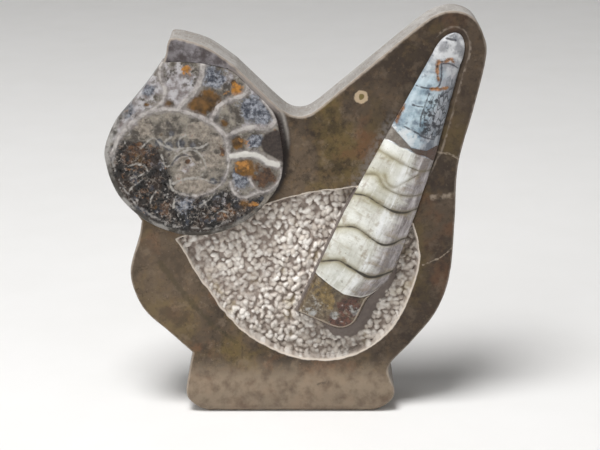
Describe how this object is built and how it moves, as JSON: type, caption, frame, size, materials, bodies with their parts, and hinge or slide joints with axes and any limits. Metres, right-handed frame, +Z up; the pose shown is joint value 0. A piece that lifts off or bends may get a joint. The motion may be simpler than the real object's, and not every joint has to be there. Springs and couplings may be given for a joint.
{
  "type": "orthoceras and ammonite fossil plaque",
  "caption": "Stand-up carved limestone plaque with a two-lobed top, a polished ammonite disc, a tapering orthoceras and a pecked hollow between them.",
  "frame": {"origin": "middle of the flat underside of the foot", "axes": "+Z up, +X to the viewer's right, the carved face towards -Y and the plain back towards +Y"},
  "size_m": [0.1324, 0.026, 0.1438],
  "materials": {
    "limestone": "polished brown limestone, sanded pale on its sides, pecked cream in its hollow",
    "ammonite_calcite": "polished calcite chambers with pale walls",
    "orthoceras_calcite": "polished cream and blue-grey calcite"
  },
  "bodies": {
    "root": {"slab": "limestone", "ammonite": "ammonite_calcite", "orthoceras": "orthoceras_calcite"}
  },
  "joints": []
}
